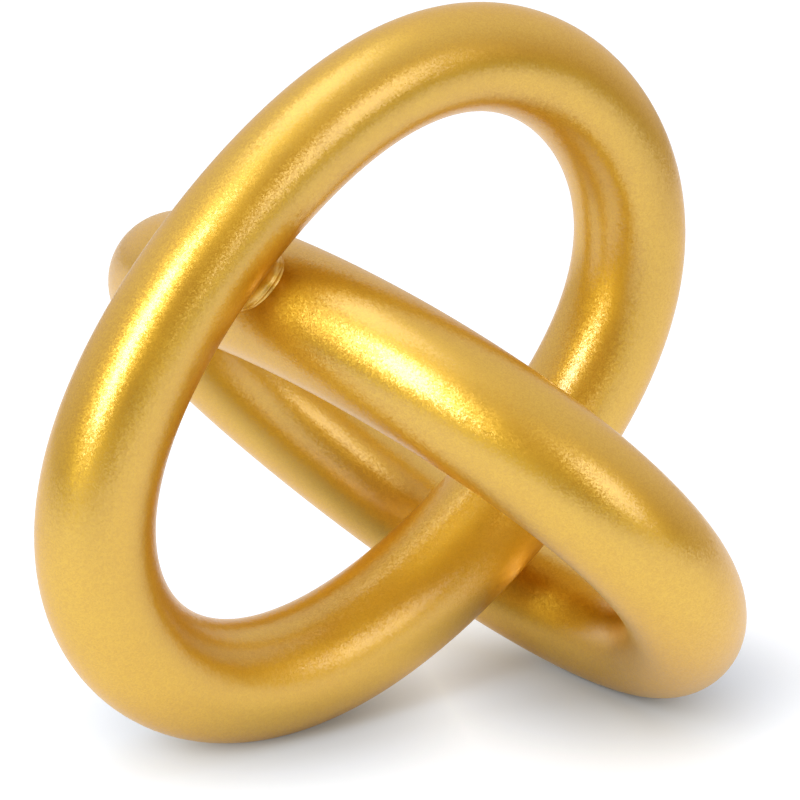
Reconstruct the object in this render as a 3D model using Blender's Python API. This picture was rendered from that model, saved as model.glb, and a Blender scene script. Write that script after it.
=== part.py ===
"""Knot sculpture: two linked oval rings of cast resin, bonded where they touch.

Lengths are in metres and Z is up. The front is seen from -Y and the sculpture stands on Z = 0.

A closed ring can't be threaded through another, so each ring is cast as two half rings, which
are closed with a dowel in each seam once the rings are linked. The tall ring is placed by its
own sizes. The leaning ring is then seated against it: it stands on the same floor and leaves
one bond line at each of the two places where the rings touch.
"""
import math
from dataclasses import dataclass

import bmesh
import bpy
from mathutils import Euler, Matrix, Vector

# Clearance between pieces that touch
FIT = 0.0003

# Tall ring, which stands almost upright
TALL_HALF_LENGTH = 0.0669
TALL_HALF_WIDTH = 0.0482
TALL_BOW = -0.0014
TALL_EGG = 0.0006
TALL_SIDE_SQUARENESS = 0.0015
TALL_TUBE_RADIUS = 0.0110
TALL_SWELL = 0.0010
TALL_SWELL_ANGLE = math.radians(238)
TALL_ROTATION = Euler((math.radians(97.4), math.radians(-44.4), math.radians(28.9)))
TALL_SEAM_ANGLE = math.radians(135)

# Leaning ring, which passes through the tall one. It spans the tall ring's two limbs, so its
# width follows theirs: each side of it is this much closer to its middle
LEANING_HALF_LENGTH = 0.0621
LEANING_NARROWER = 0.0062
LEANING_HALF_WIDTH = TALL_HALF_WIDTH - LEANING_NARROWER
LEANING_BOW = -0.0042
LEANING_EGG = 0.0013
LEANING_END_SQUARENESS = -0.0016
LEANING_SIDE_SQUARENESS = -0.0014
LEANING_TUBE_RADIUS = 0.0117
LEANING_SWELL = 0.0006
LEANING_SWELL_ANGLE = math.radians(228)
LEANING_ROTATION = Euler((math.radians(-41.5), math.radians(28.0), math.radians(-21.8)))
LEANING_SEAM_ANGLE = math.radians(330)

# Where the leaning ring is before it is seated, from the tall ring's centre
LEANING_START = Vector((0.0123, 0.0055, -0.0207))

# The stretches where the rings touch: their middle on the tall ring and on the leaning ring,
# and how far they go to each side
UPPER_CONTACT = (math.radians(95), math.radians(230))
LOWER_CONTACT = (math.radians(260), math.radians(85))
CONTACT_STRETCH = math.radians(50)

# Steel dowels that pin the half rings together
DOWEL_RADIUS = 0.0025
DOWEL_DEPTH = 0.0120
DOWEL_CHAMFER = 0.0004

# Bonds of filled resin between the rings: thinnest place, waist, and widening towards the tubes
BOND_THICKNESS = 0.0004
BOND_RADIUS = 0.0055
BOND_FLARE = 0.5

# Feet: round felt pads, how far they stand out of the pockets they are glued into, and how much
# wider than its pocket the flat ground on each ring is
PAD_RADIUS = 0.0040
PAD_THICKNESS = 0.0010
PAD_PROUD = 0.0002
FLAT_MARGIN = 0.0003

# Facets
TUBE_SIDES = 28
TUBE_STEPS = 44
DOWEL_SIDES = 16
BOND_SIDES = 32
BOND_STEPS = 8
PAD_SIDES = 32
BLOCK_SIDES = 4
SMOOTH_BELOW = math.radians(30)

# Searches for outermost points and contacts
SAMPLES = 720
SEATING_ROUNDS = 40
LONGEST_SEATING_MOVE = 0.004
COARSE_SEARCH_STEPS = 10
LAST_SEARCH_STEP = math.radians(0.001)

TURN = 2 * math.pi
X = Vector((1, 0, 0))
Y = Vector((0, 1, 0))
Z = Vector((0, 0, 1))


@dataclass
class Ring:
    """A closed oval of round tube, whose centreline lies in its own XY plane.

    The bow moves the widest place along X and the egg makes the +X end fuller than the -X one.
    The squareness fills out the ends or the sides. The swell thickens the tube at one angle
    and thins it opposite. The lower half ring runs on from the seam angle.
    """
    name: str
    half_length: float
    half_width: float
    bow: float
    egg: float
    side_squareness: float
    tube_radius: float
    swell: float
    swell_angle: float
    rotation: Euler
    seam_angle: float
    centre: Vector
    end_squareness: float = 0.0

    def point(self, angle):
        """Centreline point in the ring's own plane."""
        x = (self.half_length * math.cos(angle) + self.bow * math.cos(2 * angle)
             + self.end_squareness * math.cos(3 * angle))
        y = (self.half_width * math.sin(angle) + self.egg * math.sin(2 * angle)
             + self.side_squareness * math.sin(3 * angle))
        return Vector((x, y, 0))

    def velocity(self, angle):
        """Change of the centreline point with the angle."""
        x = (-self.half_length * math.sin(angle) - 2 * self.bow * math.sin(2 * angle)
             - 3 * self.end_squareness * math.sin(3 * angle))
        y = (self.half_width * math.cos(angle) + 2 * self.egg * math.cos(2 * angle)
             + 3 * self.side_squareness * math.cos(3 * angle))
        return Vector((x, y, 0))

    def heading(self, angle):
        return self.velocity(angle).normalized()

    def radius(self, angle):
        return self.tube_radius + self.swell * math.cos(angle - self.swell_angle)

    def world(self, angle):
        return self.centre + self.rotation.to_matrix() @ self.point(angle)

    def reach(self, direction):
        """How far the skin goes in a direction, and the angle on the ring where it does."""
        local = self.rotation.to_matrix().transposed() @ direction
        best = (-math.inf, 0)
        for i in range(SAMPLES):
            angle = TURN * i / SAMPLES
            across = math.sqrt(max(0, 1 - self.heading(angle).dot(local) ** 2))
            along = self.point(angle).dot(local) + self.radius(angle) * across
            best = max(best, (along, angle))
        return best[0] + self.centre.dot(direction), best[1]

    def station(self, angle, radius, offset=0.0):
        """A circle of this radius across the tube, moved along the tube by the offset."""
        heading = self.heading(angle)
        axes = Matrix((Z, heading.cross(Z), heading)).transposed().to_4x4()
        place = Matrix.Translation(self.point(angle) + heading * offset)
        return place @ axes @ Matrix.Diagonal((radius, radius, 1, 1))


def contact_line(tall, leaning, angles):
    """Gap between the tubes at two angles, and the direction across it to the leaning ring."""
    across = leaning.world(angles[1]) - tall.world(angles[0])
    gap = across.length - tall.radius(angles[0]) - leaning.radius(angles[1])
    return gap, across.normalized()


def closest_angles(tall, leaning, middle):
    """The angles in the stretches round the middle where the two tubes come closest."""
    def gap(angles):
        return contact_line(tall, leaning, angles)[0]

    def moves(centre, step, count):
        shifts = [i * step for i in range(-count, count + 1)]
        places = [(centre[0] + i, centre[1] + j) for i in shifts for j in shifts]
        return [place for place in places if all(
            abs(here - there) < CONTACT_STRETCH + step / 2 for here, there in zip(place, middle))]

    step = CONTACT_STRETCH / COARSE_SEARCH_STEPS
    best = min(moves(middle, step, COARSE_SEARCH_STEPS), key=gap)
    while step > LAST_SEARCH_STEP:
        better = min(moves(best, step, 1), key=gap)
        if better == best:
            step /= 2
        best = better
    return best


def rise_needed(ring):
    """How far the ring has to rise for its foot flat to be wide enough for the pad's pocket."""
    reach, angle = ring.reach(-Z)
    radius = ring.radius(angle)
    flat_depth = radius - math.sqrt(radius ** 2 - (PAD_RADIUS + FIT + FLAT_MARGIN) ** 2)
    return PAD_PROUD - flat_depth + reach


def seat(leaning, tall):
    """Move the leaning ring onto its foot and against the tall ring at both contacts."""
    wanted_gap = BOND_THICKNESS + 2 * FIT
    for _ in range(SEATING_ROUNDS):
        contacts = [closest_angles(tall, leaning, middle) for middle in (UPPER_CONTACT, LOWER_CONTACT)]
        lines = [contact_line(tall, leaning, contact) for contact in contacts]
        directions = Matrix((lines[0][1], lines[1][1], Z))
        shortfalls = Vector((wanted_gap - lines[0][0], wanted_gap - lines[1][0],
                             rise_needed(leaning)))
        move = directions.inverted() @ shortfalls
        leaning.centre += move * min(1, LONGEST_SEATING_MOVE / max(move.length, FIT))
    return contacts


def centre_over_origin(rings):
    """Shift the rings so that the middle of their outline is over the origin."""
    for axis in (X, Y):
        high = max(ring.reach(axis)[0] for ring in rings)
        low = -max(ring.reach(-axis)[0] for ring in rings)
        for ring in rings:
            ring.centre -= axis * (high + low) / 2


def make_material(name, colour, metallic, roughness):
    material = bpy.data.materials.new(name)
    material.use_nodes = True
    shader = material.node_tree.nodes["Principled BSDF"]
    shader.inputs["Base Color"].default_value = (*colour, 1)
    shader.inputs["Metallic"].default_value = metallic
    shader.inputs["Roughness"].default_value = roughness
    material.diffuse_color = (*colour, 1)
    return material


def make_solid(name, stations, sides):
    """A closed body through circles of the same number of sides, with both ends filled."""
    shape = bmesh.new()
    circles = []
    for station in stations:
        made = bmesh.ops.create_circle(shape, segments=sides, radius=1, matrix=station)
        circles.append(made["verts"])
    for near, far in zip(circles, circles[1:]):
        for i in range(sides):
            following = (i + 1) % sides
            shape.faces.new((near[i], near[following], far[following], far[i]))
    shape.faces.new(circles[0])
    shape.faces.new(circles[-1])
    bmesh.ops.recalc_face_normals(shape, faces=shape.faces)
    mesh = bpy.data.meshes.new(name)
    shape.to_mesh(mesh)
    shape.free()
    mesh.shade_smooth()
    mesh.set_sharp_from_angle(angle=SMOOTH_BELOW)
    return bpy.data.objects.new(name, mesh)


def place(piece, parent=None, material=None):
    bpy.context.scene.collection.objects.link(piece)
    piece.parent = parent
    if material:
        piece.data.materials.append(material)
    return piece


def cut(piece, cutter):
    """Take the cutter out of the piece and leave it in the scene as a hidden guide."""
    modifier = piece.modifiers.new(cutter.name, "BOOLEAN")
    modifier.operation = "DIFFERENCE"
    modifier.solver = "EXACT"
    modifier.object = cutter
    cutter.hide_render = True
    cutter.display_type = "WIRE"


def disc(height, radius):
    """A level circle of this radius at this height."""
    return Matrix.Translation(Z * height) @ Matrix.Diagonal((radius, radius, 1, 1))


def half_ring(ring, name, start):
    """Half of a ring from one seam angle on, with a blind dowel bore in each end face."""
    end = start + math.pi
    bore = DOWEL_RADIUS + FIT
    face = FIT / 2
    step = math.pi / TUBE_STEPS
    stations = [ring.station(start, bore, face + DOWEL_DEPTH), ring.station(start, bore, face)]
    stations.append(ring.station(start, ring.radius(start), face))
    for i in range(1, TUBE_STEPS):
        angle = start + step * i
        stations.append(ring.station(angle, ring.radius(angle)))
    stations.append(ring.station(end, ring.radius(end), -face))
    stations += [ring.station(end, bore, -face), ring.station(end, bore, -face - DOWEL_DEPTH)]
    return make_solid(name, stations, TUBE_SIDES)


def dowel(ring, name, angle):
    """A chamfered pin across the seam at this angle, a clearance short of both bore ends."""
    half = DOWEL_DEPTH + FIT / 2 - FIT
    tip = DOWEL_RADIUS - DOWEL_CHAMFER
    stations = [disc(-half, tip), disc(DOWEL_CHAMFER - half, DOWEL_RADIUS)]
    stations += [disc(half - DOWEL_CHAMFER, DOWEL_RADIUS), disc(half, tip)]
    pin = make_solid(name, stations, DOWEL_SIDES)
    pin.location = ring.point(angle)
    pin.rotation_euler = ring.station(angle, 1).to_euler()
    return pin


def tube_around(ring, name, angle):
    """A short stretch of the ring's tube, grown by the clearance, that shapes a bond."""
    spread = 2 * BOND_RADIUS / ring.velocity(angle).length
    steps = math.ceil(2 * spread * TUBE_STEPS / math.pi)
    stations = []
    for i in range(steps + 1):
        here = angle - spread + 2 * spread * i / steps
        stations.append(ring.station(here, ring.radius(here) + FIT))
    return make_solid(name, stations, TUBE_SIDES)


def bond(tall, leaning, name, angles):
    """A waisted plug between the two tubes, hollowed by both."""
    direction = contact_line(tall, leaning, angles)[1]
    skin = tall.world(angles[0]) + direction * tall.radius(angles[0])
    stations = []
    for i in range(BOND_STEPS + 1):
        height = BOND_RADIUS * (2 * i / BOND_STEPS - 1)
        stations.append(disc(height, math.hypot(BOND_RADIUS, BOND_FLARE * height)))
    plug = make_solid(name, stations, BOND_SIDES)
    plug.location = skin + direction * (BOND_THICKNESS / 2 + FIT)
    plug.rotation_euler = direction.to_track_quat("Z", "Y").to_euler()
    return plug


def foot_disc(ring, name, radius, bottom, top):
    """A level disc under the lowest place of the ring."""
    made = make_solid(name, [disc(bottom, radius), disc(top, radius)], PAD_SIDES)
    lowest = ring.world(ring.reach(-Z)[1])
    made.location = (lowest.x, lowest.y, 0)
    return made


def floor_block(rings):
    """A block whose top grinds both feet flat, just above the floor."""
    width = 2 * max(ring.reach(axis)[0] for ring in rings for axis in (X, Y, -X, -Y))
    stations = [disc(PAD_PROUD - width, width), disc(PAD_PROUD, width)]
    return make_solid("floor_block", stations, BLOCK_SIDES)


def build_ring(ring, gold, steel):
    """The ring's empty, its two half rings and its two dowels."""
    frame = bpy.data.objects.new(ring.name, None)
    frame.location = ring.centre
    frame.rotation_euler = ring.rotation
    place(frame)
    seam = ring.seam_angle
    halves = []
    for level, start in (("upper", seam - math.pi), ("lower", seam)):
        halves.append(place(half_ring(ring, f"{ring.name}_{level}_half", start), frame, gold))
    seams = sorted((seam, seam + math.pi), key=lambda angle: ring.world(angle).x)
    for side, angle in zip(("left", "right"), seams):
        place(dowel(ring, f"{ring.name}_{side}_dowel", angle), frame, steel)
    return frame, halves


def main():
    for item in list(bpy.data.objects):
        bpy.data.objects.remove(item, do_unlink=True)

    gold = make_material("satin_gold_paint", (0.80, 0.44, 0.07), 1.0, 0.35)
    steel = make_material("dowel_steel", (0.55, 0.55, 0.56), 1.0, 0.30)
    felt = make_material("dark_felt", (0.03, 0.03, 0.03), 0.0, 0.95)

    tall = Ring("tall_ring", TALL_HALF_LENGTH, TALL_HALF_WIDTH, TALL_BOW, TALL_EGG,
                TALL_SIDE_SQUARENESS, TALL_TUBE_RADIUS, TALL_SWELL, TALL_SWELL_ANGLE,
                TALL_ROTATION, TALL_SEAM_ANGLE, Vector())
    tall.centre.z += rise_needed(tall)
    leaning = Ring("leaning_ring", LEANING_HALF_LENGTH, LEANING_HALF_WIDTH, LEANING_BOW, LEANING_EGG,
                   LEANING_SIDE_SQUARENESS, LEANING_TUBE_RADIUS, LEANING_SWELL, LEANING_SWELL_ANGLE,
                   LEANING_ROTATION, LEANING_SEAM_ANGLE, tall.centre + LEANING_START,
                   LEANING_END_SQUARENESS)
    contacts = seat(leaning, tall)
    rings = (tall, leaning)
    centre_over_origin(rings)

    frames = []
    block = place(floor_block(rings))
    for ring in rings:
        frame, halves = build_ring(ring, gold, steel)
        frames.append(frame)
        pocket = foot_disc(ring, f"{ring.name}_foot_pocket", PAD_RADIUS + FIT, -PAD_THICKNESS,
                           PAD_THICKNESS + FIT)
        cut(halves[1], block)
        cut(halves[1], place(pocket))
        place(foot_disc(ring, f"{ring.name}_foot_pad", PAD_RADIUS, 0, PAD_THICKNESS), None, felt)

    for level, angles in zip(("upper", "lower"), contacts):
        plug = place(bond(tall, leaning, f"{level}_bond", angles), None, gold)
        for ring, frame, angle in zip(rings, frames, angles):
            cutter = tube_around(ring, f"{ring.name}_{level}_contact", angle)
            cut(plug, place(cutter, frame))


main()
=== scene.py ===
import math

import bmesh
import bpy
from mathutils import Euler, Matrix, Vector


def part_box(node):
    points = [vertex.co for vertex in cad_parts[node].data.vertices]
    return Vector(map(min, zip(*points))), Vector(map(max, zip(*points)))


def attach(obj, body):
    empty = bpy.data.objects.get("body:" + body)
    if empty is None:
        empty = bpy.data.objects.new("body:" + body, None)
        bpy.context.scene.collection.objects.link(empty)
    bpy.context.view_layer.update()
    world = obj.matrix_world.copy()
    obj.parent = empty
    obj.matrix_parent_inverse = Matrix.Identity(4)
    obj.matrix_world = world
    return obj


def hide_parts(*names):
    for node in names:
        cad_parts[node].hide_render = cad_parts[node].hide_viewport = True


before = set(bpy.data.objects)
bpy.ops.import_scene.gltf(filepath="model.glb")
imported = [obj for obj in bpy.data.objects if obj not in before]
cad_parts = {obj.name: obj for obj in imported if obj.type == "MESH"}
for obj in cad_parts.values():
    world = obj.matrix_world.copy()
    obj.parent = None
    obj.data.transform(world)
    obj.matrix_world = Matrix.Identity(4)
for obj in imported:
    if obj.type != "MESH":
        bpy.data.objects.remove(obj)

MM = 0.001
TURN = 2 * math.pi
Z = Vector((0, 0, 1))

# The oval rings of the frame in their own planes, in millimetres and degrees
TALL_RING = {
    "half_length": 66.9, "half_width": 48.2, "bow": -1.4, "egg": 0.6,
    "end_squareness": 0.0, "side_squareness": 1.5,
    "tube_radius": 11.0, "swell": 1.0, "swell_angle": 238, "rotation": (97.4, -44.4, 28.9),
}
LEANING_RING = {
    "half_length": 62.1, "half_width": 42.0, "bow": -4.2, "egg": 1.3,
    "end_squareness": -1.6, "side_squareness": -1.4,
    "tube_radius": 11.7, "swell": 0.6, "swell_angle": 228, "rotation": (-41.5, 28.0, -21.8),
}

# Facets of the rings' skins
SKIN_SIDES = 64
SKIN_STEPS = 180

# Edges bent more than this stay sharp, in degrees
SHARP_ABOVE = 40

# Pockets of the foot pads, with this room round and over each pad in millimetres
POCKET_ROOM = 0.3
POCKET_SIDES = 48

# Bonds between the rings, in millimetres
BOND_REACH = 4.4         # from the place of contact to the filler's waist, across each tube
BOND_FLARE = 0.8         # how much wider the filler meets the tubes
BOND_SINK = 0.4          # how deep it goes on in them
BOND_RIDGE = 0.2         # height of the ridge of paint round it
BOND_RIDGE_WIDTH = 0.3
BOND_RIDGE_PLACE = 0.6   # share of the way from the waist to the leaning ring
BOND_SIDES = 64
BOND_STEPS = 44

# Places tried round a centreline to find the one nearest to a bond
SEARCH_STEPS = 3600

# Patterns of the finishes, in millimetres
LUMP_WIDTH = 11.0
LUMP_HEIGHT = 0.10
PEEL_WIDTH = 0.8
PEEL_HEIGHT = 0.003
FLAKE_WIDTH = 0.25
GRINDING_MARK_WIDTH = 0.2
FELT_TANGLE_WIDTH = 0.25
FELT_NAP_HEIGHT = 0.1

# How far a flake's face turns from one extreme to the other, as a slope
FLAKE_TILT = 0.11

# Camera of the photograph, in millimetres and degrees
CAMERA_PLACE = (0.5, -548.2, 231.7)
CAMERA_PITCH = -17.11
CAMERA_LENS = 135.0
CAMERA_FILM = 36.0

# Studio lights: angles in degrees, lengths in metres, and a brightness where 1 is white
LIGHT_COLOUR = "#F0FBFF"   # cool white of daylight tubes
LIGHT_TARGET = (0.0, 0.0, 0.07)
LIGHTS = {
    "key_strip": {"round": -143, "above": 28, "distance": 1.2, "size": (0.48, 0.78),
                  "brightness": 3.9},
    "key_tube": {"round": -145, "above": 26, "distance": 1.15, "size": (0.16, 0.62),
                 "brightness": 12.5},
    "fill_strip": {"round": 137, "above": 18, "distance": 1.2, "size": (0.55, 0.58),
                   "brightness": 2.7},
    "top_panel": {"round": -112, "above": 74, "distance": 1.0, "size": (0.60, 0.50),
                  "brightness": 1.65},
}

# Colours of the room: dim and warm in front and on the right, pale behind and above
ROOM_DIM = "#AF8D68"
ROOM_PALE = "#F6F6F6"
ROOM_PALE_SIDE = (-0.10, 0.61, 0.79)
ROOM_BLEND = (-0.4, 0.8)   # from dim to pale, as cosines of the angle from the pale side

# Paper floor, in metres
FLOOR_SIZE = 6.0
PAPER_DIM = "#787878"             # far off and in front, where only the gold mirrors it
PAPER_PALE = "#B8C2D3"            # round and behind the object, and all that the camera sees; its blue tint cools the warm light that the gold throws into the shadows
SHEET_MIDDLE = (0.0, 0.6, 0.0)    # middle of the pale paper
SHEET_EDGE = (0.76, 1.15)         # distances from there over which it ends
GLOW_COLOUR = "#FFFAF2"
GLOW_NEAR = 0.05                  # strength in the painted shadows round the feet
GLOW_FAR = 0.63                   # strength away from them
GLOW_RISE = (0.005, 0.052)        # distances from a painted shadow's middle over which it grows
# Middles of the painted shadows under the feet, where the floor's glow is weakest
PAINTED_SHADOW_MIDDLES = ((-0.0246, -0.0018, 0.0), (0.0430, 0.0130, 0.0))


def linear(hex_colour):
    """An sRGB hex colour as linear red, green, blue and alpha."""
    parts = [int(hex_colour[i:i + 2], 16) / 255 for i in (1, 3, 5)]
    return [p / 12.92 if p <= 0.04045 else ((p + 0.055) / 1.055) ** 2.4 for p in parts] + [1.0]


def add_node(tree, kind, settings=None, links=None):
    """Adds a node, sets its inputs or properties and links its inputs from other sockets."""
    node = tree.nodes.new(kind)
    for name, value in (settings or {}).items():
        if isinstance(name, int) or name in node.inputs:
            node.inputs[name].default_value = value
        else:
            setattr(node, name, value)
    for name, source in (links or {}).items():
        tree.links.new(source, node.inputs[name])
    return node


def new_material(name):
    """An empty material, its node tree and the tree's output node."""
    material = bpy.data.materials.new(name)
    material.use_nodes = True
    tree = material.node_tree
    tree.nodes.clear()
    output = tree.nodes.new("ShaderNodeOutputMaterial")
    return material, tree, output


def satin_gold_paint():
    """Sprayed metallic gold paint under satin lacquer, on sanded cast resin.

    The flakes make the gold lobe wide and grainy, and the lacquer puts nearly white highlights
    over it. Real flakes are some hundredths of a millimetre wide. They are drawn 0.25 mm wide,
    which is as fine as shows here, and each lies at its own small tilt. The cast resin under
    the paint has a slight orange peel and is not quite even over a centimetre or so.
    """
    material, tree, output = new_material("satin_gold_paint")
    place = add_node(tree, "ShaderNodeTexCoord").outputs["Object"]
    lumps = add_node(tree, "ShaderNodeTexNoise", {"Scale": 1 / (LUMP_WIDTH * MM), "Detail": 1.0},
                     {"Vector": place})
    peel = add_node(tree, "ShaderNodeTexNoise", {"Scale": 1 / (PEEL_WIDTH * MM), "Detail": 1.0},
                    {"Vector": place})
    flakes = add_node(tree, "ShaderNodeTexVoronoi", {"Scale": 1 / (FLAKE_WIDTH * MM)},
                      {"Vector": place})
    shade = add_node(tree, "ShaderNodeSeparateColor", {}, {"Color": flakes.outputs["Color"]})

    casting = add_node(tree, "ShaderNodeBump", {"Strength": 1.0, "Distance": LUMP_HEIGHT * MM},
                       {"Height": lumps.outputs["Fac"]})
    skin = add_node(tree, "ShaderNodeBump", {"Strength": 1.0, "Distance": PEEL_HEIGHT * MM},
                    {"Height": peel.outputs["Fac"], "Normal": casting.outputs["Normal"]})
    spread = add_node(tree, "ShaderNodeVectorMath", {"operation": "SUBTRACT", 1: (0.5, 0.5, 0.5)},
                      {0: flakes.outputs["Color"]})
    tilt = add_node(tree, "ShaderNodeVectorMath", {"operation": "SCALE", "Scale": FLAKE_TILT},
                    {0: spread.outputs["Vector"]})
    lying = add_node(tree, "ShaderNodeVectorMath", {"operation": "ADD"},
                     {0: skin.outputs["Normal"], 1: tilt.outputs["Vector"]})
    facing = add_node(tree, "ShaderNodeVectorMath", {"operation": "NORMALIZE"},
                      {0: lying.outputs["Vector"]})

    tint = add_node(tree, "ShaderNodeMix", {"data_type": "RGBA", 6: linear("#D2A119"),
                                            7: linear("#DFB123")}, {0: shade.outputs["Red"]})
    gloss = add_node(tree, "ShaderNodeMapRange", {"From Min": 0.35, "From Max": 0.65,
                                                  "To Min": 0.40, "To Max": 0.46},
                     {"Value": lumps.outputs["Fac"]})
    shader = add_node(tree, "ShaderNodeBsdfPrincipled",
                      {"Metallic": 1.0, "Specular Tint": linear("#F8DCB4"), "Coat Weight": 0.7,
                       "Coat Roughness": 0.25, "Coat IOR": 2.0},
                      {"Base Color": tint.outputs[2], "Roughness": gloss.outputs["Result"],
                       "Normal": facing.outputs["Vector"], "Coat Normal": facing.outputs["Vector"]})
    tree.links.new(shader.outputs["BSDF"], output.inputs["Surface"])
    return material


def ground_steel():
    """Centreless ground steel of the dowels: fairly glossy, dulled by fine grinding marks."""
    material, tree, output = new_material("ground_steel")
    place = add_node(tree, "ShaderNodeTexCoord").outputs["Object"]
    marks = add_node(tree, "ShaderNodeTexNoise", {"Scale": 1 / (GRINDING_MARK_WIDTH * MM),
                                                  "Detail": 3.0}, {"Vector": place})
    gloss = add_node(tree, "ShaderNodeMapRange", {"To Min": 0.22, "To Max": 0.38},
                     {"Value": marks.outputs["Fac"]})
    shader = add_node(tree, "ShaderNodeBsdfPrincipled",
                      {"Metallic": 1.0, "Base Color": linear("#BFC0C2")},
                      {"Roughness": gloss.outputs["Result"]})
    tree.links.new(shader.outputs["BSDF"], output.inputs["Surface"])
    return material


def needled_felt():
    """Dark needled wool felt of the foot pads: matt, with a nap of tangled fibres."""
    material, tree, output = new_material("needled_felt")
    place = add_node(tree, "ShaderNodeTexCoord").outputs["Object"]
    fibres = add_node(tree, "ShaderNodeTexNoise", {"Scale": 1 / (FELT_TANGLE_WIDTH * MM),
                                                   "Detail": 4.0, "Distortion": 1.5},
                      {"Vector": place})
    colour = add_node(tree, "ShaderNodeMix", {"data_type": "RGBA", 6: linear("#1D1B1A"),
                                              7: linear("#3A3634")}, {0: fibres.outputs["Fac"]})
    nap = add_node(tree, "ShaderNodeBump", {"Strength": 0.8, "Distance": FELT_NAP_HEIGHT * MM},
                   {"Height": fibres.outputs["Fac"]})
    shader = add_node(tree, "ShaderNodeBsdfPrincipled", {"Roughness": 0.95, "Sheen Weight": 0.3},
                      {"Base Color": colour.outputs[2], "Normal": nap.outputs["Normal"]})
    tree.links.new(shader.outputs["BSDF"], output.inputs["Surface"])
    return material


def white_sweep():
    """Matt white paper with a glow of its own: weak round the feet, which paints shadows there over
    the real ones, and strong away from them, so that the camera sees plain white there.

    The gold mirrors it as a sheet round and behind the object, with dim floor in front of it.
    """
    material, tree, output = new_material("white_sweep")
    place = add_node(tree, "ShaderNodeTexCoord").outputs["Object"]
    # Painted shadow: the glow is weakest near the middles beneath the feet, so the floor looks
    # darker there
    painted_shadow_spots = [add_node(tree, "ShaderNodeVectorMath", {"operation": "DISTANCE", 1: middle},
                      {0: place}) for middle in PAINTED_SHADOW_MIDDLES]
    nearer = add_node(tree, "ShaderNodeMath", {"operation": "MINIMUM"},
                      {0: painted_shadow_spots[0].outputs["Value"], 1: painted_shadow_spots[1].outputs["Value"]})
    glow = add_node(tree, "ShaderNodeMapRange",
                    {"interpolation_type": "SMOOTHSTEP", "From Min": GLOW_RISE[0],
                     "From Max": GLOW_RISE[1], "To Min": GLOW_NEAR, "To Max": GLOW_FAR},
                    {"Value": nearer.outputs["Value"]})
    out = add_node(tree, "ShaderNodeVectorMath", {"operation": "DISTANCE", 1: SHEET_MIDDLE},
                   {0: place})
    sheet = add_node(tree, "ShaderNodeMapRange",
                     {"interpolation_type": "SMOOTHSTEP", "From Min": SHEET_EDGE[0],
                      "From Max": SHEET_EDGE[1], "To Min": 1.0, "To Max": 0.0},
                     {"Value": out.outputs["Value"]})
    path = add_node(tree, "ShaderNodeLightPath")
    here = add_node(tree, "ShaderNodeMath", {"operation": "MAXIMUM"},
                    {0: sheet.outputs["Result"], 1: path.outputs["Is Camera Ray"]})
    seen = add_node(tree, "ShaderNodeMath", {"operation": "MAXIMUM"},
                    {0: path.outputs["Is Camera Ray"], 1: path.outputs["Is Transmission Ray"]})
    shown = add_node(tree, "ShaderNodeMath", {"operation": "MAXIMUM"},
                     {0: seen.outputs["Value"], 1: path.outputs["Is Glossy Ray"]})
    lit = add_node(tree, "ShaderNodeMath", {"operation": "MULTIPLY"},
                   {0: here.outputs["Value"], 1: shown.outputs["Value"]})
    strength = add_node(tree, "ShaderNodeMath", {"operation": "MULTIPLY"},
                        {0: glow.outputs["Result"], 1: lit.outputs["Value"]})
    shade = add_node(tree, "ShaderNodeMix", {"data_type": "RGBA", 6: linear(PAPER_DIM),
                                             7: linear(PAPER_PALE)}, {0: here.outputs["Value"]})
    paper = add_node(tree, "ShaderNodeBsdfDiffuse", {}, {"Color": shade.outputs[2]})
    light = add_node(tree, "ShaderNodeEmission", {"Color": linear(GLOW_COLOUR)},
                     {"Strength": strength.outputs["Value"]})
    both = add_node(tree, "ShaderNodeAddShader", {}, {0: paper.outputs[0], 1: light.outputs[0]})
    tree.links.new(both.outputs[0], output.inputs["Surface"])
    return material


class Ring:
    """An oval ring of round tube, in millimetres until its pieces are placed.

    The bow moves the widest place along X and the egg makes the +X end fuller than the -X one.
    The squareness fills out the ends or the sides. The swell thickens the tube at one angle
    and thins it opposite. The skin finds the ring's centre from the frame.
    """

    def __init__(self, sizes):
        for name, value in sizes.items():
            setattr(self, name, value)
        self.turned = Euler([math.radians(a) for a in self.rotation]).to_matrix().to_4x4()
        self.centre = Vector()

    def point(self, angle):
        x = (self.half_length * math.cos(angle) + self.bow * math.cos(2 * angle)
             + self.end_squareness * math.cos(3 * angle))
        y = (self.half_width * math.sin(angle) + self.egg * math.sin(2 * angle)
             + self.side_squareness * math.sin(3 * angle))
        return Vector((x, y, 0))

    def heading(self, angle):
        x = (-self.half_length * math.sin(angle) - 2 * self.bow * math.sin(2 * angle)
             - 3 * self.end_squareness * math.sin(3 * angle))
        y = (self.half_width * math.cos(angle) + 2 * self.egg * math.cos(2 * angle)
             + 3 * self.side_squareness * math.cos(3 * angle))
        return Vector((x, y, 0)).normalized()

    def radius(self, angle):
        return self.tube_radius + self.swell * math.cos(angle - math.radians(self.swell_angle))

    def station(self, angle):
        """A unit circle's place across the tube at this angle."""
        heading = self.heading(angle)
        axes = Matrix((Z, heading.cross(Z), heading)).transposed().to_4x4()
        place = Matrix.Translation(self.point(angle)) @ axes
        radius = self.radius(angle)
        return self.turned @ place @ Matrix.Diagonal((radius, radius, 1, 1))

    def world(self, angle):
        """The centreline's place at this angle, in metres."""
        return self.centre + self.turned @ (self.point(angle) * MM)


def finished(name, shape, material):
    """The closed shape as an object at the origin, facing outwards, with material and body."""
    bmesh.ops.recalc_face_normals(shape, faces=shape.faces)
    if shape.calc_volume(signed=True) < 0:
        bmesh.ops.reverse_faces(shape, faces=shape.faces)
    mesh = bpy.data.meshes.new(name)
    shape.to_mesh(mesh)
    shape.free()
    mesh.shade_smooth()
    mesh.set_sharp_from_angle(angle=math.radians(SHARP_ABOVE))
    mesh.materials.append(material)
    piece = bpy.data.objects.new(name, mesh)
    bpy.context.scene.collection.objects.link(piece)
    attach(piece, "root")
    return piece


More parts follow.
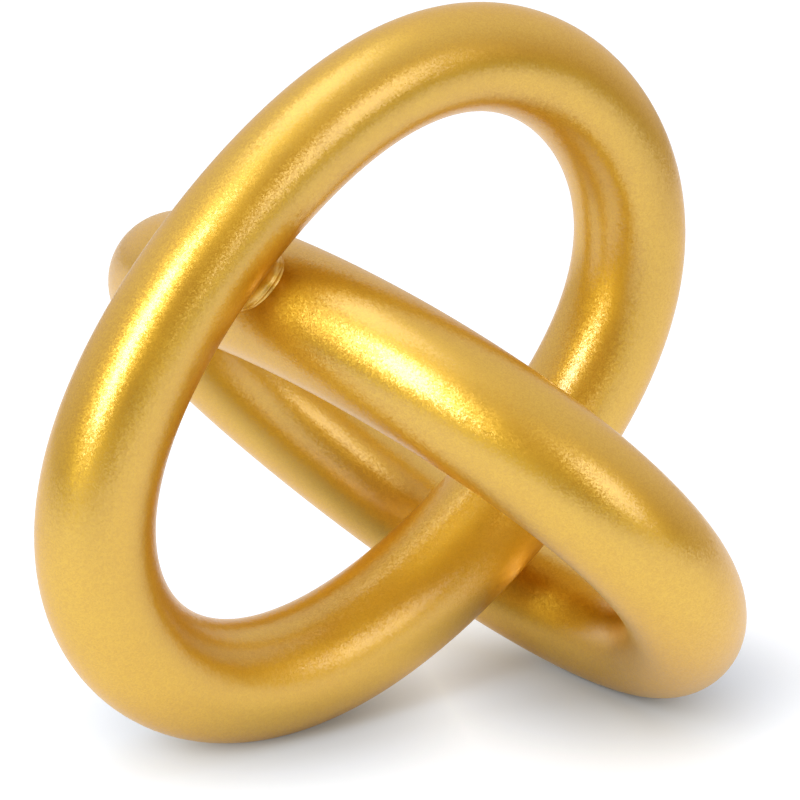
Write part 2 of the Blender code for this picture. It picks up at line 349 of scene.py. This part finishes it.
def extruded_on(shape, edges, move):
    """Extrudes a loop of edges, moves the new loop and returns its edges."""
    made = bmesh.ops.extrude_edge_only(shape, edges=edges)["geom"]
    points = {item for item in made if isinstance(item, bmesh.types.BMVert)}
    bmesh.ops.transform(shape, matrix=move, verts=list(points))
    return [item for item in made
            if isinstance(item, bmesh.types.BMEdge) and points.issuperset(item.verts)]


def corners_of(places):
    """The lowest and highest corner of the box round some places."""
    low = Vector([min(place[axis] for place in places) for axis in range(3)])
    high = Vector([max(place[axis] for place in places) for axis in range(3)])
    return low, high


def ring_skin(name, ring, halves, pad, paint):
    """The painted skin of a whole ring: its seams are filled, so it is one closed tube.

    It lies where its two solid halves lie. Their foot is already ground flat, so it is set by
    their top and by their middle across.
    """
    shape = bmesh.new()
    stations = [ring.station(TURN * i / SKIN_STEPS) for i in range(SKIN_STEPS)]
    bmesh.ops.create_circle(shape, segments=SKIN_SIDES, radius=1, matrix=stations[0])
    first = list(shape.edges)
    last = first
    for before, after in zip(stations, stations[1:]):
        last = extruded_on(shape, last, after @ before.inverted())
    bmesh.ops.bridge_loops(shape, edges=first + last)
    bmesh.ops.scale(shape, vec=(MM, MM, MM), verts=shape.verts)

    low, high = corners_of([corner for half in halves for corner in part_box(half)])
    skin_low, skin_high = corners_of([vert.co for vert in shape.verts])
    ring.centre = (low + high - skin_low - skin_high) / 2
    ring.centre.z = high.z - skin_high.z
    bmesh.ops.translate(shape, vec=ring.centre, verts=shape.verts)

    ground_foot(shape, low.z, pad)
    skin = finished(name, shape, paint)
    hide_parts(*halves)


def ground_foot(shape, level, pad):
    """Grinds a ring's lowest place flat at this level and sinks the pad's round pocket in it."""
    cut = bmesh.ops.bisect_plane(shape, geom=shape.verts[:] + shape.edges[:] + shape.faces[:],
                                 plane_co=(0, 0, level), plane_no=Z, clear_inner=True)
    rim = [item for item in cut["geom_cut"] if isinstance(item, bmesh.types.BMEdge)]
    low, high = (Vector(corner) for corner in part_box(pad))
    middle = (low + high) / 2
    place = Matrix.Translation((middle.x, middle.y, level))
    radius = (high.x - low.x) / 2 + POCKET_ROOM * MM
    circle = bmesh.ops.create_circle(shape, segments=POCKET_SIDES, radius=radius, matrix=place)
    corners = set(circle["verts"])
    mouth = [edge for edge in shape.edges if corners.issuperset(edge.verts)]
    bmesh.ops.triangle_fill(shape, edges=rim + mouth, use_beauty=True, normal=-Z)
    ceiling = Matrix.Translation((0, 0, high.z + POCKET_ROOM * MM - level))
    bmesh.ops.edgeloop_fill(shape, edges=extruded_on(shape, mouth, ceiling))


def nearest(ring, place):
    """The centreline's point and heading nearest to a place, and the tube's radius there."""
    angles = [TURN * i / SEARCH_STEPS for i in range(SEARCH_STEPS)]
    angle = min(angles, key=lambda a: (ring.world(a) - place).length)
    return ring.world(angle), ring.turned @ ring.heading(angle), ring.radius(angle) * MM


def bond_fillet(name, node, rings, paint):
    """The filler in the crease between the two rings, painted with them.

    It ends where the gap between the tubes has one width all round, so it is an oval along the
    crease, and it is hollow like a saddle. The paint pooled in a fine ridge round it.
    """
    low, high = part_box(node)
    place = (Vector(low) + Vector(high)) / 2
    near, near_heading, near_radius = nearest(rings[0], place)
    far, far_heading, far_radius = nearest(rings[1], place)
    if near_heading.dot(far_heading) < 0:
        far_heading = -far_heading
    across = (far - near).normalized()
    middle = (near + across * near_radius + far - across * far_radius) / 2
    half_gap = ((far - near).length - near_radius - far_radius) / 2 / MM
    half_angle = near_heading.angle(far_heading) / 2
    crease = near_heading + far_heading
    crease = (crease - across * crease.dot(across)).normalized()
    long_half = crease * (BOND_REACH / math.sin(half_angle))
    wide_half = across.cross(crease) * (BOND_REACH / math.cos(half_angle))

    def depth(radius, heading, outward):
        """How far a tube's side lies behind its place of contact, this far out from there."""
        aside = outward.cross(heading).length
        return radius - math.sqrt(radius ** 2 - aside ** 2)

    def in_crease(place):
        """Where a place on a drum of radius and half height 1 comes to lie in the crease."""
        waist = long_half * place.x + wide_half * place.y
        outward = waist.normalized()
        rim = waist + outward * BOND_FLARE
        low_end = -half_gap - depth(near_radius / MM, near_heading, rim) - BOND_SINK
        high_end = half_gap + depth(far_radius / MM, far_heading, rim) + BOND_SINK
        height = (low_end * (1 - place.z) + high_end * (1 + place.z)) / 2
        from_ridge = (place.z - BOND_RIDGE_PLACE) * (high_end - low_end) / 2
        ridge = BOND_RIDGE * math.exp(-(from_ridge / BOND_RIDGE_WIDTH) ** 2)
        return waist + outward * (BOND_FLARE * place.z ** 2 + ridge) + across * height

    shape = bmesh.new()
    bmesh.ops.create_circle(shape, segments=BOND_SIDES, radius=1, matrix=Matrix.Translation(-Z),
                            cap_ends=True)
    last = list(shape.edges)
    for _ in range(BOND_STEPS):
        last = extruded_on(shape, last, Matrix.Translation(Z * (2 / BOND_STEPS)))
    bmesh.ops.edgeloop_fill(shape, edges=last)
    for vert in shape.verts:
        vert.co = middle + in_crease(vert.co) * MM
    fillet = finished(name, shape, paint)
    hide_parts(node)


def repaint(node, material):
    """Gives a node of the frame its finish."""
    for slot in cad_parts[node].material_slots:
        slot.link = "OBJECT"
        slot.material = material


def paper_floor():
    """The flat sweep of white paper under the object."""
    shape = bmesh.new()
    bmesh.ops.create_grid(shape, x_segments=1, y_segments=1, size=FLOOR_SIZE / 2)
    mesh = bpy.data.meshes.new("floor")
    shape.to_mesh(mesh)
    shape.free()
    mesh.materials.append(white_sweep())
    floor = bpy.data.objects.new("floor", mesh)
    bpy.context.scene.collection.objects.link(floor)


def studio_lights():
    """The key light on the left, the bright tube in it, the fill on the right and the top light.

    Their angles round the object start at its back, and those above it start at the floor.
    """
    target = Vector(LIGHT_TARGET)
    for name, light in LIGHTS.items():
        around, above = math.radians(light["round"]), math.radians(light["above"])
        away = Vector((math.sin(around) * math.cos(above), math.cos(around) * math.cos(above),
                       math.sin(above)))
        lamp = bpy.data.lights.new(name, "AREA")
        lamp.shape = "RECTANGLE"
        lamp.color = linear(LIGHT_COLOUR)[:3]
        lamp.size, lamp.size_y = light["size"]
        lamp.energy = light["brightness"] * math.pi * lamp.size * lamp.size_y
        panel = bpy.data.objects.new(name, lamp)
        panel.visible_camera = False
        panel.location = target + away * light["distance"]
        panel.rotation_euler = away.to_track_quat("Z", "Y").to_euler()
        bpy.context.scene.collection.objects.link(panel)


def studio_room():
    """The room round the table, which the gold mirrors. The camera sees it as plain white."""
    world = bpy.data.worlds.new("studio")
    world.use_nodes = True
    tree = world.node_tree
    tree.nodes.clear()
    output = tree.nodes.new("ShaderNodeOutputWorld")
    way = add_node(tree, "ShaderNodeTexCoord").outputs["Generated"]
    side = add_node(tree, "ShaderNodeVectorMath", {"operation": "DOT_PRODUCT", 1: ROOM_PALE_SIDE},
                    {0: way})
    level = add_node(tree, "ShaderNodeMapRange",
                     {"interpolation_type": "SMOOTHSTEP", "From Min": ROOM_BLEND[0],
                      "From Max": ROOM_BLEND[1], "To Min": 0.0, "To Max": 1.0},
                     {"Value": side.outputs["Value"]})
    shade = add_node(tree, "ShaderNodeMix", {"data_type": "RGBA", 6: linear(ROOM_DIM),
                                             7: linear(ROOM_PALE)}, {0: level.outputs["Result"]})
    walls = add_node(tree, "ShaderNodeBackground", {"Strength": 1.0}, {"Color": shade.outputs[2]})
    white = add_node(tree, "ShaderNodeBackground", {"Strength": 1.0, "Color": (1, 1, 1, 1)})
    path = add_node(tree, "ShaderNodeLightPath")
    seen = add_node(tree, "ShaderNodeMath", {"operation": "MAXIMUM"},
                    {0: path.outputs["Is Camera Ray"], 1: path.outputs["Is Transmission Ray"]})
    pick = add_node(tree, "ShaderNodeMixShader", {}, {0: seen.outputs["Value"],
                                                      1: walls.outputs[0], 2: white.outputs[0]})
    tree.links.new(pick.outputs[0], output.inputs["Surface"])
    bpy.context.scene.world = world


def photo_camera():
    """The camera that took the photograph."""
    lens = bpy.data.cameras.new("camera")
    lens.lens = CAMERA_LENS
    lens.sensor_width = CAMERA_FILM
    camera = bpy.data.objects.new("camera", lens)
    camera.location = Vector(CAMERA_PLACE) * MM
    camera.rotation_euler = (math.radians(90 + CAMERA_PITCH), 0, 0)
    bpy.context.scene.collection.objects.link(camera)
    bpy.context.scene.camera = camera


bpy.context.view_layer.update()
paper_floor()
studio_lights()
studio_room()
photo_camera()
bpy.context.scene.view_settings.view_transform = "Standard"
gold = satin_gold_paint()
steel = ground_steel()
felt = needled_felt()

tall = Ring(TALL_RING)
leaning = Ring(LEANING_RING)
for ring_name, ring in (("tall_ring", tall), ("leaning_ring", leaning)):
    halves = (f"{ring_name}_upper_half", f"{ring_name}_lower_half")
    ring_skin(f"{ring_name}_skin", ring, halves, f"{ring_name}_foot_pad", gold)
    repaint(f"{ring_name}_left_dowel", steel)
    repaint(f"{ring_name}_right_dowel", steel)
    repaint(f"{ring_name}_foot_pad", felt)
for level in ("upper", "lower"):
    bond_fillet(f"{level}_fillet", f"{level}_bond", (tall, leaning), gold)
